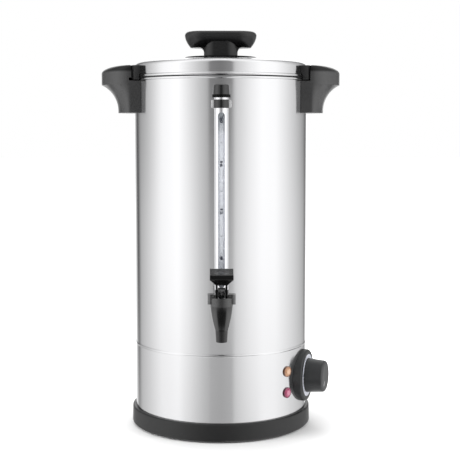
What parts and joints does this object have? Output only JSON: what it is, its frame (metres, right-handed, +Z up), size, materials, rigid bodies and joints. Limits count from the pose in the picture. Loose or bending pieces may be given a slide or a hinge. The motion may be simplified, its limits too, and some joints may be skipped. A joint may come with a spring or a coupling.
{
  "type": "hot water urn",
  "caption": "Stainless steel hot water urn with twist-lock lid, moulded side handles, slotted level gauge, lever tap, thermostat knob and pilot lamps on a black base ring.",
  "frame": {"origin": "on the urn's vertical axis, in the plane it stands on", "axes": "+Z up along the tank's axis, -Y towards the tap and level gauge (the front), +X to the side with the thermostat"},
  "size_m": [0.3752, 0.3617, 0.6214],
  "materials": {
    "body_steel": "brushed",
    "plate_steel": "satin",
    "guard_steel": "polished",
    "ring_metal": "satin",
    "black_moulding": "fine grain",
    "dial_moulding": "satin",
    "black_gloss": "gloss",
    "inner_plastic": "satin",
    "terminal_white": "satin",
    "brass": "satin",
    "rubber": "matte",
    "seal_silicone": "matte",
    "glass": "clear",
    "amber_lens": "translucent",
    "red_lens": "translucent",
    "button_red": "gloss",
    "aluminium": "cast"
  },
  "bodies": {
    "urn": {"base_ring": "black_moulding", "foot_ring": "rubber", "bottom_plate": "plate_steel", "base_screws": "plate_steel", "base_nuts": "plate_steel", "skirt": "body_steel", "tank": "body_steel", "tank_floor": "body_steel", "handle_right": "black_moulding", "handle_left": "black_moulding", "handle_screws": "plate_steel", "tap_shank": "black_gloss", "shank_seals": "seal_silicone", "shank_nut": "plate_steel", "gauge_glass": "glass", "gauge_seals": "seal_silicone", "gauge_guard": "guard_steel", "gauge_collar": "black_gloss", "gauge_bracket": "guard_steel", "bracket_screw": "plate_steel", "gauge_cap": "black_gloss", "tap_body": "black_gloss", "tap_bonnet": "black_gloss", "tap_spring": "plate_steel", "dial_bezel": "dial_moulding", "dial_ring": "ring_metal", "thermostat": "inner_plastic", "dial_screws": "plate_steel", "lamp_amber": "amber_lens", "lamp_red": "red_lens", "lamp_nuts": "inner_plastic", "heat_spreader": "aluminium", "heating_element": "plate_steel", "element_clamp": "plate_steel", "clamp_nuts": "plate_steel", "thermal_cutout": "inner_plastic", "cutout_nut": "inner_plastic", "terminal_block": "terminal_white", "terminal_screw_set": "brass", "gland_plate": "plate_steel", "rear_rivets": "plate_steel", "cable_gland": "inner_plastic", "gland_nut": "inner_plastic"},
    "seal_ring": {"lid_seal": "rubber"},
    "lid": {"lid": "body_steel", "lid_lugs": "black_moulding", "lug_rivets": "plate_steel", "knob_plate": "black_gloss", "lid_knob": "black_moulding", "knob_screw": "plate_steel"},
    "valve": {"tap_stem": "black_gloss", "tap_seat_cup": "rubber"},
    "lever": {"tap_lever": "black_gloss", "lever_pin": "plate_steel"},
    "dial": {"dial_knob": "dial_moulding", "dial_spindle": "plate_steel"},
    "button": {"reset_button": "button_red"}
  },
  "joints": [
    {"name": "lid_lift", "type": "slide", "parent": "urn", "child": "seal_ring", "axis": [0, 0, 1], "range_m": [0, 0.15]},
    {"name": "lid_turn", "type": "hinge", "parent": "seal_ring", "child": "lid", "pos_m": [0, 0, 0.548], "axis": [0, 0, 1], "range_deg": [0, 12]},
    {"name": "valve_lift", "type": "slide", "parent": "urn", "child": "valve", "axis": [0, 0, 1], "range_m": [0, 0.0035], "stiffness_N_per_m": 300, "springref_m": -0.01, "deforming": ["tap_spring"]},
    {"name": "lever_tilt", "type": "hinge", "parent": "valve", "child": "lever", "pos_m": [0, -0.185, 0.2385], "axis": [1, 0, 0], "range_deg": [0, 40]},
    {"name": "dial_turn", "type": "hinge", "parent": "urn", "child": "dial", "pos_m": [0.1371, -0.04721, 0.082], "axis": [-0.9455, 0.3256, 0], "range_deg": [0, 270]},
    {"name": "reset_press", "type": "slide", "parent": "urn", "child": "button", "axis": [0, 0, 1], "range_m": [0, 0.0015], "stiffness_N_per_m": 500, "springref_m": -0.001}
  ],
  "couplings": [
    {"joint": "lever_tilt", "follows": "valve_lift", "rad_per_m": 199.47}
  ]
}
